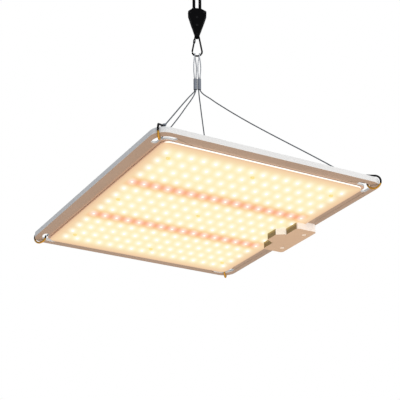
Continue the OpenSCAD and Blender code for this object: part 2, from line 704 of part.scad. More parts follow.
// A crimped sleeve with two bores, standing on the origin
module sleeve(l)
    difference() {
        union() {
            for (s = [-1, 1])
                translate([s * strand_off, 0, 0]) cylinder(h = l, r = cable_r + 0.65);
            translate([-strand_off, -cable_r - 0.65, 0]) cube([2 * strand_off, 2 * cable_r + 1.3, l]);
        }
        for (s = [-1, 1])
            translate([s * strand_off, 0, -1]) cylinder(h = l + 2, r = cable_r + 0.04);
    }

module left_top_sleeve() color([0.5, 0.51, 0.54])
    hanger() translate([-sleeve_u, 0, sleeve_h]) sleeve(top_sleeve_l);

module right_top_sleeve() color([0.5, 0.51, 0.54])
    hanger() translate([sleeve_u, 0, sleeve_h]) sleeve(top_sleeve_l);

module end_sleeves() color([0.6, 0.61, 0.63])
    for (i = [0:3]) {
        w = leg_way(i);
        translate(bear(i) + eye_l * w)
            rotate([0, 0, atan2(w.y, w.x)]) rotate([0, acos(w.z), 0]) rotate([0, 0, 90]) sleeve(end_sleeve_l);
    }

// ---------------------------------------------------------------- upper and lower hooks

lower_l = hook_pin_h - lower_bow_h;
round_nose = -28;                                    // these hooks' noses stop short, low on the bow

module lower_place() hanger() translate([0, 0, hook_pin_h]) children();

module upper_place() hanger() translate([0, 0, eye_h]) rotate([0, 180, 0]) children();

module lower_hook() color([0.05, 0.05, 0.06])
    lower_place() hook_body(lower_bow_r, lower_eye_r, lower_l, round_nose);

module lower_gate() color([0.1, 0.1, 0.11])
    lower_place() hook_gate(lower_bow_r, lower_eye_r, lower_l, round_nose);

module lower_gate_pin() color([0.5, 0.5, 0.5])
    lower_place() hook_gate_pin(lower_bow_r, lower_eye_r, lower_l, round_nose);

module upper_hook() color([0.05, 0.05, 0.06])
    upper_place() hook_body(upper_bow_r, upper_eye_r, upper_l, round_nose);

module upper_gate() color([0.1, 0.1, 0.11])
    upper_place() hook_gate(upper_bow_r, upper_eye_r, upper_l, round_nose);

module upper_gate_pin() color([0.5, 0.5, 0.5])
    upper_place() hook_gate_pin(upper_bow_r, upper_eye_r, upper_l, round_nose);

// ---------------------------------------------------------------- rope ratchet

rope_lean = asin((wheel_pitch_r - strand_gap / 2) / (mouth_h - wheel_h));

// The rope's route inside the ratchet: round the wheel and up to both mouths
module rope_route(r) {
    wire_arc([0, wheel_h], wheel_pitch_r, 180 - rope_lean, 360 + rope_lean, r);
    for (s = [-1, 1])
        wire_run([s * wheel_pitch_r * cos(rope_lean), wheel_h + wheel_pitch_r * sin(rope_lean)],
            [s * strand_gap / 2, mouth_h], r);
}

// Face of the case: broad shoulders, and sides that taper to a narrow tip
case_bones = [[-9.2, 273.4, 2], [9.4, 272.4, 2.4], [-4.2, 277.4, 1.6], [4.2, 276.6, 1.6], [0, 241.8, 2.4]];
module case_face(in)
    hull()
        for (b = case_bones)
            translate([b.x, b.y]) circle(r = b.z - in, $fn = 32);

// Side of the case, thick at the wheel and thin at the tip
tip_t = 7.6;
taper_top = 262;
taper_foot = 246;
module case_side(t, tip)
    polygon([[-t / 2, 284], [-t / 2, taper_top], [-tip / 2, taper_foot], [-tip / 2, 236],
        [tip / 2, 236], [tip / 2, taper_foot], [t / 2, taper_top], [t / 2, 284]]);

module standing(t) rotate([90, 0, 0]) linear_extrude(t, center = true) children();

// How thick the case is at a height, and where a rivet's head seats in it
function case_side_t(h) =
    h > taper_top ? case_t : tip_t + (case_t - tip_t) * max(0, h - taper_foot) / (taper_top - taper_foot);
function rivet_seat(p) = case_side_t(p.y) / 2 - 0.25;

module case_solid() {
    intersection() {
        standing(case_t + 2) case_face(0);
        rotate([90, 0, 90]) linear_extrude(40, center = true) case_side(case_t, tip_t);
    }
    for (s = [[-1, 281], [1, 279]])
        translate([s[0] * strand_gap / 2, 0, 275]) cylinder(h = s[1] - 275, r = rope_r + 1.1);
}

module case_hollow() {
    wheel_room = wheel_rim_r + slip;
    translate([0, 0.75, 0]) across([0, wheel_h], wheel_room, 8.6);
    rope_route(rope_r + 0.15);
    for (s = [-1, 1])
        translate([s * strand_gap / 2, 0, mouth_h - 2]) cylinder(h = 6, r = rope_r + 0.15);
    // the pawl's pocket, open at the case's shoulder
    translate([0, gear_y + gear_t / 2, 0])
        standing(gear_t + 0.6)
            polygon([[-3, 268], [-11, 268], [-14, 276], [-12, 284], [-6, 284], [-5, 276]]);
    // the slit for the lower hook's eye
    translate([-20, -hook_wire / 2 - slip, 230]) cube([40, hook_wire + 2 * slip, 247.4 - 230]);
    across([0, wheel_h], axle_r, 30);
    across([0, hook_pin_h], hook_pin_r, 30);
    across(pawl_pivot, pawl_pin_r, 30);
    translate([0, gear_y - 0.9, 0]) across(pawl_pivot, spring_r + 0.2, 1.5);
    for (p = rivet_spots) {
        across(p, rivet_r, 30);
        for (s = [-1, 1])
            translate([0, s * (rivet_seat(p) + 2), 0]) across(p, rivet_head_r + 0.1, 4);
    }
}

module half_case(side)
    hanger()
        intersection() {
            difference() {
                case_solid();
                case_hollow();
            }
            translate([-30, side < 0 ? -30 : 0, 200]) cube([60, 30, 100]);
        }

module ratchet_front_shell() color([0.05, 0.05, 0.06]) half_case(-1);

module ratchet_rear_shell() color([0.06, 0.06, 0.07]) half_case(1);

module ratchet_rivets() color([0.3, 0.3, 0.32])
    hanger()
        for (p = rivet_spots) {
            across(p, rivet_r, 2 * rivet_seat(p));
            for (s = [-1, 1])
                translate([0, s * (rivet_seat(p) + rivet_head_t / 2), 0]) across(p, rivet_head_r, rivet_head_t);
        }

module hook_pin() color([0.5, 0.5, 0.52])
    hanger() across([0, hook_pin_h], hook_pin_r, tip_t);

module wheel_axle() color([0.6, 0.6, 0.62])
    hanger() across([0, wheel_h], axle_r, case_t);

// The grooved wheel and its disc of saw teeth
module rope_wheel() color([0.75, 0.75, 0.7])
    hanger()
        translate([0, 0, wheel_h])
            rotate([-90, 0, 0])
                difference() {
                    union() {
                        rotate_extrude()
                            polygon([[0, -2.9], [wheel_rim_r, -2.9], [wheel_rim_r, -2.2], [wheel_core_r, -1.9],
                                [wheel_core_r, 1.9], [wheel_rim_r, 2.2], [wheel_rim_r, 2.9], [0, 2.9]]);
                        translate([0, 0, 2.8])
                            linear_extrude(gear_y - 2.8 + gear_t)
                                polygon([for (k = [0:gear_teeth - 1], q = [0, 1])
                                    let (a = -360 * (k + (q == 0 ? 0 : 0.12)) / gear_teeth)
                                        (q == 0 ? gear_root_r : gear_tip_r) * [cos(a), sin(a)]]);
                    }
                    rope_groove();
                    translate([0, 0, -10]) cylinder(h = 20, r = wheel_bore_r);
                }

module rope_groove()
    rotate_extrude() translate([wheel_pitch_r, 0]) circle(r = rope_r + 0.05, $fn = 32);

// The pawl: its nose stands by the teeth and its thumb tab comes out at the shoulder
module pawl() color([0.12, 0.12, 0.13])
    hanger()
        translate([0, gear_y + gear_t / 2, 0])
            difference() {
                union() {
                    across(pawl_pivot, 1.9, gear_t);
                    standing(gear_t)
                        polygon([[-9.2, 270.6], [-7.2, 270.5], [-4.75, 270.55], [-5.1, 271.6], [-6.9, 273.7]]);
                    standing(gear_t)
                        polygon([[-10, 273], [-11.4, 276.4], [-10.6, 279.4], [-8.9, 279.8], [-7.8, 277.4], [-7, 273]]);
                }
                across(pawl_pivot, pawl_pin_r + fit_gap, 6);
            }

module pawl_pin() color([0.6, 0.6, 0.62])
    hanger() across(pawl_pivot, pawl_pin_r, case_t);

module pawl_spring() color([0.7, 0.7, 0.72])
    hanger()
        translate([pawl_pivot.x, gear_y - 0.35, pawl_pivot.y])
            rotate([90, 0, 0])
                difference() {
                    cylinder(h = 1.1, r = spring_r);
                    translate([0, 0, -1]) cylinder(h = 4, r = pawl_pin_r + 0.1);
                }

module rope_bend() color([0.05, 0.05, 0.06])
    hanger() rope_route(rope_r);

module rope() color([0.05, 0.05, 0.06])
    hanger()
        for (s = [-1, 1])
            translate([s * strand_gap / 2, 0, mouth_h + 0.6]) cylinder(h = knot_h - mouth_h - 0.6, r = rope_r);

module rope_knot() color([0.05, 0.05, 0.06])
    hanger()
        intersection() {
            translate([0, 0, knot_h + knot_l / 2]) standing(knot_d) round_rect(knot_w, knot_l, 3);
            translate([0, 0, knot_h]) linear_extrude(knot_l) round_rect(knot_w, knot_d, 4.5);
        }

// The bight of rope that passes through the upper hook's small end
bight_r = hook_wire / 2 + rope_r + 0.1;
module rope_bight() color([0.05, 0.05, 0.06])
    hanger()
        rotate([0, 0, 90]) {
            wire_arc([0, eye_h - upper_eye_r], bight_r, 0, 180, rope_r);
            for (s = [-1, 1])
                wire_run([s * bight_r, knot_h + knot_l + run_in + 0.05], [s * bight_r, eye_h - upper_eye_r], rope_r);
        }

// ---------------------------------------------------------------- nodes

heat_sink_tray();
thermal_pad();
diode_board();
white_diodes();
red_diodes();
board_screws();
junction_cover();
cover_screws();
terminal_block();
lead_grommet();
supply_lead();
driver_case();
driver_rear_cap();
driver_front_cap();
driver_circuit_board();
driver_transformer();
driver_capacitors();
driver_screws();
power_gland();
output_gland();
hook_near_left();
hook_near_right();
hook_far_right();
hook_far_left();
gate_near_left();
gate_near_right();
gate_far_right();
gate_far_left();
corner_pins();
left_cable();
right_cable();
left_top_sleeve();
right_top_sleeve();
end_sleeves();
lower_hook();
lower_gate();
lower_gate_pin();
ratchet_front_shell();
ratchet_rear_shell();
ratchet_rivets();
hook_pin();
rope_wheel();
wheel_axle();
pawl();
pawl_pin();
pawl_spring();
rope_bend();
rope();
rope_knot();
rope_bight();
upper_hook();
upper_gate();
upper_gate_pin();
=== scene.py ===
import math

import bpy
import numpy as np
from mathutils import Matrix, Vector


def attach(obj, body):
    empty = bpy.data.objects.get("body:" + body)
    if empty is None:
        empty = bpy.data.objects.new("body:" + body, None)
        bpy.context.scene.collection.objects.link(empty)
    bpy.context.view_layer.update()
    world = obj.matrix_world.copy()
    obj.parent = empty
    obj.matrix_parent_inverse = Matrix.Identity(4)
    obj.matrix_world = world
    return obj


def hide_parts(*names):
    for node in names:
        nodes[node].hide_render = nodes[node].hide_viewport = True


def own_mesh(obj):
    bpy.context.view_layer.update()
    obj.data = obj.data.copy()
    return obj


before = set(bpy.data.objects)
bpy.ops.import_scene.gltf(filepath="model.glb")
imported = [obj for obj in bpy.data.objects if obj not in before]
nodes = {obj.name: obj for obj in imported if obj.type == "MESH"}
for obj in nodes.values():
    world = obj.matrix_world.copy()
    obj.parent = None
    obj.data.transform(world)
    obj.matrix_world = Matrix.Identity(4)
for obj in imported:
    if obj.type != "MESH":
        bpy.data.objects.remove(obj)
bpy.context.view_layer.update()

MM = 0.001
scene = bpy.context.scene

# ---------------------------------------------------------------- sizes, as the part has them, in millimetres

LED_Z = -378.0
FACE_Z = LED_Z + 2.9
TRAY = (280.0, 340.0)
BOARD = (248.0, 308.0)
LED_GRID = (16, 14)
LED_PITCH = (14.6, 20.2)
LED_SIDE, LED_H = 3.0, 0.7
RED_ROWS = (4, 9)
COVER_IN_X = 111.5
TAB_REACH, TAB_HALF = 11.0, 15.0
HANGER_TURN = math.radians(-28)
WIRE_R = 1.1
CABLE_R = 0.75
ROPE_R = 1.9
BIGHT_R = WIRE_R + ROPE_R + 0.1
STRAND_X = 3.75
MOUTH_H, KNOT_H, KNOT_L = 279.6, 323.6, 15.0
EYE_H, UPPER_EYE_R = 347.1, 3.4
SLEEVE_U, SLEEVE_H, TOP_SLEEVE_L = 2.4, 166.5, 14.5
CORNERS = ((-1, -1), (1, -1), (1, 1), (-1, 1))


# ---------------------------------------------------------------- camera and studio

CAMERA_PLACE = (-0.6119, -1.1035, -0.9049)
CAMERA_WAY = (0.4358, 0.811, 0.3904)


def set_camera():
    cam = bpy.data.objects.new("camera", bpy.data.cameras.new("camera"))
    scene.collection.objects.link(cam)
    cam.location = CAMERA_PLACE
    cam.rotation_euler = Vector(CAMERA_WAY).to_track_quat("-Z", "Y").to_euler()
    cam.data.sensor_width = 36.0
    cam.data.lens = 106.2
    cam.data.shift_x, cam.data.shift_y = 0.041, 0.0245
    cam.data.clip_start, cam.data.clip_end = 0.02, 100.0
    scene.camera = cam


def area_light(name, place, aim, size, watts, colour):
    light = bpy.data.lights.new(name, "AREA")
    light.shape, light.size, light.energy, light.color = "DISK", size, watts, colour
    lamp = bpy.data.objects.new(name, light)
    scene.collection.objects.link(lamp)
    lamp.location = place
    lamp.rotation_euler = (Vector(aim) - Vector(place)).to_track_quat("-Z", "Y").to_euler()


# ---------------------------------------------------------------- shader helpers

class Shader:
    """A material's node tree, written as arithmetic on its sockets."""

    def __init__(self, name, tree=None):
        self.mat = None
        if tree is None:
            self.mat = bpy.data.materials.new(name)
            self.mat.use_nodes = True
            tree = self.mat.node_tree
            self.bsdf = next(n for n in tree.nodes if n.type == "BSDF_PRINCIPLED")
        self.tree = tree

    def node(self, kind, **settings):
        n = self.tree.nodes.new(kind)
        for key, value in settings.items():
            setattr(n, key, value)
        return n

    def feed(self, socket, value):
        if isinstance(value, bpy.types.NodeSocket):
            self.tree.links.new(value, socket)
        elif isinstance(value, (tuple, list)) and len(value) == 3 and socket.type == "RGBA":
            socket.default_value = (*value, 1.0)
        else:
            socket.default_value = value

    def math(self, op, *args, clamp=False):
        n = self.node("ShaderNodeMath", operation=op, use_clamp=clamp)
        for socket, value in zip(n.inputs, args):
            self.feed(socket, value)
        return n.outputs[0]

    def mix(self, fac, a, b, blend="MIX"):
        n = self.node("ShaderNodeMix", data_type="RGBA", blend_type=blend)
        self.feed(n.inputs["Factor"], fac)
        self.feed(n.inputs[6], a)
        self.feed(n.inputs[7], b)
        return n.outputs[2]

    def step(self, value, low, high):
        n = self.node("ShaderNodeMapRange", interpolation_type="SMOOTHSTEP")
        for socket, v in zip(n.inputs, (value, low, high, 0.0, 1.0)):
            self.feed(socket, v)
        return n.outputs[0]

    def object_point(self):
        return self.node("ShaderNodeTexCoord").outputs["Object"]

    def split(self, vector):
        n = self.node("ShaderNodeSeparateXYZ")
        self.feed(n.inputs[0], vector)
        return n.outputs

    def facing(self, axis, low, high):
        """1 where the surface faces along -X, -Y or -Z (axis 0, 1 or 2), 0 where it doesn't."""
        normal = self.split(self.node("ShaderNodeTexCoord").outputs["Normal"])[axis]
        return self.step(self.math("MULTIPLY", normal, -1.0), low, high)

    def colour(self):
        """What feeds the base colour so far."""
        return self.bsdf.inputs["Base Color"].links[0].from_socket

    def noise(self, scale, detail=3.0, stretch=(1, 1, 1), roughness=0.55):
        place = self.node("ShaderNodeMapping")
        self.feed(place.inputs[0], self.object_point())
        place.inputs["Scale"].default_value = stretch
        n = self.node("ShaderNodeTexNoise")
        self.feed(n.inputs["Vector"], place.outputs[0])
        n.inputs["Scale"].default_value = scale
        n.inputs["Detail"].default_value = detail
        n.inputs["Roughness"].default_value = roughness
        return n.outputs["Fac"]

    def cells(self, scale):
        n = self.node("ShaderNodeTexVoronoi")
        self.feed(n.inputs["Vector"], self.object_point())
        n.inputs["Scale"].default_value = scale
        return n.outputs["Distance"]

    def bump(self, height, strength, distance):
        n = self.node("ShaderNodeBump")
        n.inputs["Strength"].default_value = strength
        n.inputs["Distance"].default_value = distance
        self.feed(n.inputs["Height"], height)
        self.feed(self.bsdf.inputs["Normal"], n.outputs[0])

    def set(self, **values):
        for key, value in values.items():
            self.feed(self.bsdf.inputs[key.replace("_", " ")], value)
        return self


def between(s, fac, low, high):
    """A number that runs from low to high as fac goes from 0 to 1."""
    return s.math("MULTIPLY_ADD", fac, high - low, low)


def coat(name, colour, dark, rough, spread=0.08, grain=900.0, grain_mm=0.03, metallic=0.0, stretch=(1, 1, 1),
         shine=0.5):
    """A finish with slow mottling in its colour, uneven roughness and a fine grain."""
    s = Shader(name)
    s.set(Specular_IOR_Level=shine)
    mottle = s.noise(14.0, 4.0)
    grain_fac = s.noise(grain, 2.0, stretch)
    tone = s.mix(s.step(mottle, 0.3, 0.75), dark, colour)
    speck = s.step(grain_fac, 0.25, 0.8)
    s.set(Base_Color=s.mix(between(s, speck, 0.12, 0.0), tone, (0.0, 0.0, 0.0)), Metallic=metallic,
          Roughness=between(s, s.math("MULTIPLY_ADD", grain_fac, 0.4, s.math("MULTIPLY", mottle, 0.6)),
                            rough - spread, rough + spread))
    s.bump(grain_fac, 0.35, grain_mm * MM)
    return s


# ---------------------------------------------------------------- materials

def tray_paint():
    """White powder coat. The lower face carries painted shade in tan, with a painted glow where the board's light
    would fall on it.
    """
    s = coat("tray_paint", (0.86, 0.87, 0.88), (0.80, 0.81, 0.82), 0.42, grain=1500.0)
    cloud = s.noise(9.0, 3.0)
    # Painted shade: the lower face is tinted tan for white paint in shade under warm light, mottled a little.
    shaded_underside = s.mix(s.step(cloud, 0.3, 0.7), (0.36, 0.277, 0.217), (0.395, 0.303, 0.238))
    inset = board_inset(s)[2]
    # Painted glow: the lower face is lighter close to the board's edge, where the board's light would fall on it.
    away = s.step(s.math("MULTIPLY", inset, -1.0), -0.3, 4.0)
    shaded_underside = s.mix(away, (0.55, 0.40, 0.31), shaded_underside)
    s.set(Base_Color=s.mix(s.facing(2, 0.55, 0.8), s.colour(), shaded_underside))
    return s.mat


def board_inset(s):
    """Place on the board in mm, and how far that is inside the board's edge."""
    x, y, _ = s.split(s.object_point())
    x_mm = s.math("MULTIPLY", x, 1000.0)
    y_mm = s.math("MULTIPLY", y, 1000.0)
    inset = s.math("MINIMUM",
                   s.math("SUBTRACT", BOARD[0] / 2, s.math("ABSOLUTE", x_mm)),
                   s.math("SUBTRACT", BOARD[1] / 2, s.math("ABSOLUTE", y_mm)))
    return x_mm, y_mm, inset


def diode_grid(s, x_mm, y_mm):
    """Signed distances in mm to the nearest diode's centre, and the row's number."""
    u = s.math("MULTIPLY_ADD", x_mm, 1 / LED_PITCH[0], (LED_GRID[0] - 1) / 2)
    v = s.math("MULTIPLY_ADD", y_mm, 1 / LED_PITCH[1], (LED_GRID[1] - 1) / 2)
    column = s.math("MINIMUM", s.math("MAXIMUM", s.math("ROUND", u), 0.0), LED_GRID[0] - 1.0)
    row = s.math("MINIMUM", s.math("MAXIMUM", s.math("ROUND", v), 0.0), LED_GRID[1] - 1.0)
    dx = s.math("MULTIPLY", s.math("SUBTRACT", u, column), LED_PITCH[0])
    dy = s.math("MULTIPLY", s.math("SUBTRACT", v, row), LED_PITCH[1])
    return dx, dy, v


FIELD = (0.90, 0.80, 0.465)
HALO_LEAN, HALO_WIDE, HALO_LONG = math.radians(21), 4.0, 7.4


def bell(s, distance, width):
    """1 at no distance, falling away over a width."""
    q = s.math("DIVIDE", distance, width)
    return s.math("EXPONENT", s.math("MULTIPLY", s.math("MULTIPLY", q, q), -1.0))


def board_mask():
    """White solder mask lit by its diodes, their light painted on as emission: a halo round each, two red rows,
    and a duller margin. Its edges have painted light and shade by the way they face.
    """
    s = Shader("board_mask")
    x_mm, y_mm, inset = board_inset(s)
    dx, dy, v = diode_grid(s, x_mm, y_mm)
    along = s.math("MULTIPLY_ADD", dx, math.sin(HALO_LEAN) / HALO_LONG,
                   s.math("MULTIPLY", dy, math.cos(HALO_LEAN) / HALO_LONG))
    across = s.math("MULTIPLY_ADD", dx, math.cos(HALO_LEAN) / HALO_WIDE,
                    s.math("MULTIPLY", dy, -math.sin(HALO_LEAN) / HALO_WIDE))
    off_centre = s.math("SQRT", s.math("MULTIPLY_ADD", along, along, s.math("MULTIPLY", across, across)))
    halo = bell(s, off_centre, 1.0)
    lit = s.mix(s.step(inset, -1.0, 5.0), (0.70, 0.45, 0.275), (0.82, 0.56, 0.33))
    lit = s.mix(s.step(inset, 1.0, 23.0), lit, FIELD)
    amber, red = None, None
    for r in RED_ROWS:
        off = s.math("MULTIPLY", s.math("SUBTRACT", v, float(r)), LED_PITCH[1])
        near, far = bell(s, off, 8.6), bell(s, off, 14.0)
        red = near if red is None else s.math("ADD", red, near, clamp=True)
        amber = far if amber is None else s.math("ADD", amber, far, clamp=True)
    span = s.step(s.math("SUBTRACT", LED_PITCH[0] * 7.5 + 9.0, s.math("ABSOLUTE", x_mm)), 0.0, 9.0)
    lit = s.mix(s.math("MULTIPLY", amber, s.math("MULTIPLY", span, 0.78)), lit, (0.86, 0.54, 0.17))
    red = s.math("MULTIPLY", red, s.math("MULTIPLY", span, 0.95))
    lit = s.mix(red, lit, (0.86, 0.32, 0.15))
    fleck = s.noise(260.0, 3.0)
    lit = s.mix(between(s, s.step(fleck, 0.35, 0.75), 0.06, 0.0), lit, (0.72, 0.50, 0.24))
    core = s.mix(s.step(red, 0.5, 0.9), (0.98, 0.95, 0.80), (0.98, 0.72, 0.66))
    lit = s.mix(s.math("MULTIPLY", halo, 0.95), lit, core)
    # Painted light and shade on the board's edges: the -X edge gets a browner base and a dim brown emission as
    # painted shade in warm light, the -Y edge a near-white emission as painted light.
    side = s.mix(s.facing(0, 0.3, 0.7), (0.62, 0.58, 0.52), (0.72, 0.50, 0.34))
    side_lit = s.mix(s.facing(0, 0.3, 0.7), (0.0, 0.0, 0.0), (0.20, 0.11, 0.075))
    side_lit = s.mix(s.facing(1, 0.5, 0.85), side_lit, (0.90, 0.88, 0.84))
    down = s.facing(2, 0.5, 0.9)
    s.set(Base_Color=s.mix(down, side, s.mix(s.noise(40.0), (0.050, 0.047, 0.040), (0.062, 0.058, 0.048))),
          Roughness=between(s, fleck, 0.35, 0.55), Specular_IOR_Level=0.3,
          Emission_Color=s.mix(down, side_lit, lit), Emission_Strength=1.0)
    s.bump(s.noise(1200.0, 2.0), 0.2, 0.02 * MM)
    return s.mat


def glowing(name, frame_colour, rough, light, strength):
    """A surface with slightly uneven emitted light.

    It stands for a diode's silicone, which gives the diode's own light, or for a diode's frame or a screw, where
    it is a painted glow of the diodes' light falling on them.
    """
    s = Shader(name)
    fac = s.noise(700.0, 2.0)
    s.set(Base_Color=s.mix(fac, frame_colour, tuple(c * 0.85 for c in frame_colour)),
          Roughness=between(s, fac, rough, rough + 0.15),
          Emission_Color=s.mix(s.step(fac, 0.3, 0.7), tuple(c * 0.94 for c in light), light),
          Emission_Strength=strength)
    return s.mat


def black_finish():
    """Black-finished wire. Below the tray's face it is painted gold, a painted reflection of the warm light under
    the tray.
    """
    s = coat("black_finish", (0.006, 0.006, 0.007), (0.003, 0.003, 0.0035), 0.5, grain=2400.0, shine=0.1)
    z = s.split(s.object_point())[2]
    # Painted reflection: gold and partly metallic below the tray's face, broken up a little by noise.
    warm_reflection = s.step(s.math("MULTIPLY", z, -1000.0), -FACE_Z - 1.6, -FACE_Z + 0.2)
    warm_reflection = s.math("MULTIPLY", warm_reflection, between(s, s.step(s.noise(500.0, 3.0), 0.3, 0.6), 0.75, 1.0))
    s.set(Base_Color=s.mix(warm_reflection, s.colour(), (0.62, 0.34, 0.05)), Metallic=s.math("MULTIPLY", warm_reflection, 0.6))
    return s.mat


def rope_fibre():
    """Black polyester braid: each strand's filaments show as fine lines along it."""
    s = Shader("rope_fibre")
    fuzz = s.noise(2600.0, 4.0)
    hatch = s.noise(900.0, 2.0, (3.0, 3.0, 0.6))
    s.set(Base_Color=s.mix(s.math("MULTIPLY", fuzz, hatch), (0.002, 0.002, 0.0025), (0.012, 0.012, 0.0135)),
          Roughness=between(s, fuzz, 0.78, 0.95), Specular_IOR_Level=0.05)
    s.bump(fuzz, 0.5, 0.06 * MM)
    return s.mat


def cover_plastic():
    """Pale plastic, with light and shade painted by the way each face faces. The lower faces keep the coat's tan
    as painted warm light, the -X sides are painted shade browned by the glow of the board beside them and darker
    further below its face, and the near (-Y) sides get painted light as emission.
    """
    s = coat("cover_plastic", (0.635, 0.485, 0.355), (0.605, 0.46, 0.335), 0.46, grain=1800.0, shine=0.35)
    z_mm = s.math("MULTIPLY", s.split(s.object_point())[2], 1000.0)
    near = s.facing(1, 0.35, 0.95)
    left = s.facing(0, 0.35, 0.75)
    down = s.facing(2, 0.5, 0.9)
    high = s.step(z_mm, FACE_Z - 6.0, FACE_Z - 2.0)
    # Painted shade on the -X sides: brown, lighter near the board's face and darker further below it.
    glow = s.mix(high, (0.24, 0.165, 0.075), (0.58, 0.42, 0.16))
    body = s.mix(s.math("MULTIPLY", left, s.math("SUBTRACT", 1.0, near)), (0.80, 0.76, 0.72), glow)
    # Painted light: lower faces keep the tan, the other faces the pale tone, and the near (-Y) faces a light
    # emission.
    s.set(Base_Color=s.mix(down, body, s.colour()),
          Emission_Color=s.mix(near, (0.0, 0.0, 0.0), (0.34, 0.31, 0.29)), Emission_Strength=1.0)
    return s.mat


def cable_wire():
    """Galvanised wire rope, lighter in colour above the top sleeves, where its loops go round the lower hook."""
    s = coat("cable_wire", (0.24, 0.26, 0.28), (0.15, 0.165, 0.18), 0.36, metallic=0.85, grain=2600.0)
    z_mm = s.math("MULTIPLY", s.split(s.object_point())[2], 1000.0)
    sleeve_top = LED_Z + SLEEVE_H + TOP_SLEEVE_L
    # Lighter colour above the top sleeves.
    above_top_sleeves = s.step(z_mm, sleeve_top - 1.0, sleeve_top + 5.0)
    s.set(Base_Color=s.mix(above_top_sleeves, s.colour(), (0.50, 0.52, 0.55)))
    return s.mat


def green_mask():
    """Green solder mask over copper tracks."""
    s = Shader("green_mask")
    track = s.step(s.cells(170.0), 0.28, 0.34)
    s.set(Base_Color=s.mix(track, (0.02, 0.16, 0.05), (0.035, 0.26, 0.09)), Roughness=between(s, track, 0.28, 0.4))
    s.bump(track, 0.3, 0.03 * MM)
    return s.mat


def drawn_metal(name, colour, dark, rough, stretch=(1.0, 1.0, 0.05), grain=2200.0):
    """Metal with fine lines the way it was drawn or turned."""
    return coat(name, colour, dark, rough, 0.09, grain, 0.02, 1.0, stretch).mat


MATERIALS = {
    "tray": tray_paint(),
    "board": board_mask(),
    "phosphor": glowing("phosphor", (0.5, 0.45, 0.3), 0.2, (1.0, 0.985, 0.90), 1.6),
    "red_phosphor": glowing("red_phosphor", (0.5, 0.3, 0.25), 0.2, (1.0, 0.86, 0.84), 1.25),
    # The diode frames' emission is a painted glow of their diodes' light.
    "package": glowing("package", (0.4, 0.38, 0.34), 0.35, (1.0, 0.95, 0.72), 1.0),
    "red_package": glowing("red_package", (0.4, 0.28, 0.24), 0.35, (1.0, 0.70, 0.62), 0.95),
    "pad": coat("pad_silicone", (0.66, 0.55, 0.46), (0.60, 0.50, 0.42), 0.8).mat,
    # Yellow zinc screws with a painted glow of the board's light as emission.
    "screw": glowing("zinc_plate_and_painted_glow", (0.40, 0.33, 0.14), 0.34, (0.86, 0.70, 0.27), 0.75),
    "cover": cover_plastic(),
    "block": coat("block_nylon", (0.80, 0.79, 0.76), (0.75, 0.74, 0.71), 0.5, grain=1800.0).mat,
    # Nickel screws with a painted glow as emission, so they read as pale dots.
    "cover_screw": glowing("nickel_plate_and_painted_glow", (0.70, 0.62, 0.54), 0.35, (1.0, 0.90, 0.80), 0.22),
    "rubber": coat("black_rubber", (0.016, 0.016, 0.017), (0.011, 0.011, 0.012), 0.72, shine=0.3).mat,
    "driver": drawn_metal("driver_aluminium", (0.66, 0.67, 0.69), (0.54, 0.55, 0.57), 0.42, (0.04, 1.0, 1.0)),
    "black_plastic": coat("black_plastic", (0.010, 0.010, 0.011), (0.006, 0.006, 0.007), 0.5, grain=1400.0,
                          grain_mm=0.05, shine=0.35).mat,
    "ratchet": coat("ratchet_nylon", (0.0025, 0.0025, 0.003), (0.0015, 0.0015, 0.002), 0.7, grain=1400.0,
                    grain_mm=0.04, shine=0.05).mat,
    "green": green_mask(),
    "tape": coat("yellow_tape", (0.72, 0.52, 0.08), (0.6, 0.42, 0.06), 0.35).mat,
    "capacitor": coat("capacitor_sleeve", (0.05, 0.06, 0.17), (0.035, 0.045, 0.13), 0.3).mat,
    "steel": drawn_metal("bright_steel", (0.62, 0.62, 0.64), (0.46, 0.46, 0.48), 0.3),
    "wire": cable_wire(),
    "sleeve": coat("sleeve_aluminium", (0.23, 0.25, 0.29), (0.16, 0.175, 0.21), 0.42, metallic=0.8, grain=1700.0,
                   grain_mm=0.06).mat,
    "hook": black_finish(),
    "rope": rope_fibre(),
}

LOOKS = {
    "tray": ["heat_sink_tray"],
    "board": ["diode_board"],
    "pad": ["thermal_pad"],
    "screw": ["board_screws"],
    "cover": ["junction_cover"],
    "block": ["terminal_block"],
    "cover_screw": ["cover_screws"],
    "rubber": ["lead_grommet", "supply_lead"],
    "driver": ["driver_case"],
    "black_plastic": ["driver_rear_cap", "driver_front_cap", "power_gland", "output_gland"],
    "ratchet": ["ratchet_front_shell", "ratchet_rear_shell"],
    "green": ["driver_circuit_board"],
    "tape": ["driver_transformer"],
    "capacitor": ["driver_capacitors"],
    "steel": ["driver_screws", "corner_pins", "lower_gate_pin", "upper_gate_pin", "rope_wheel", "pawl_spring"],
    "sleeve": ["left_top_sleeve", "right_top_sleeve", "end_sleeves"],
    "wire": ["left_cable", "right_cable"],
    "hook": ["hook_near_left", "hook_near_right", "hook_far_right", "hook_far_left", "gate_near_left",
             "gate_near_right", "gate_far_right", "gate_far_left", "lower_hook", "lower_gate", "upper_hook",
             "upper_gate", "pawl", "ratchet_rivets", "hook_pin", "wheel_axle", "pawl_pin"],
    "rope": ["rope", "rope_bend", "rope_knot", "rope_bight"],
    "phosphor": ["white_diodes"],
    "red_phosphor": ["red_diodes"],
}
for look, names in LOOKS.items():
    for name in names:
        mesh = nodes[name].data
        mesh.materials.clear()
        mesh.materials.append(MATERIALS[look])


# ---------------------------------------------------------------- mesh helpers

def turned(p, angle):
    c, s = math.cos(angle), math.sin(angle)
    return np.array([p[0] * c - p[1] * s, p[0] * s + p[1] * c, p[2]])


def hanger(p):
    """A point given by place across, place through and height above the diodes, in the part's frame."""
    return turned(np.asarray(p, float), HANGER_TURN) + np.array([0, 0, LED_Z])


def unit(v):
    return v / np.linalg.norm(v)


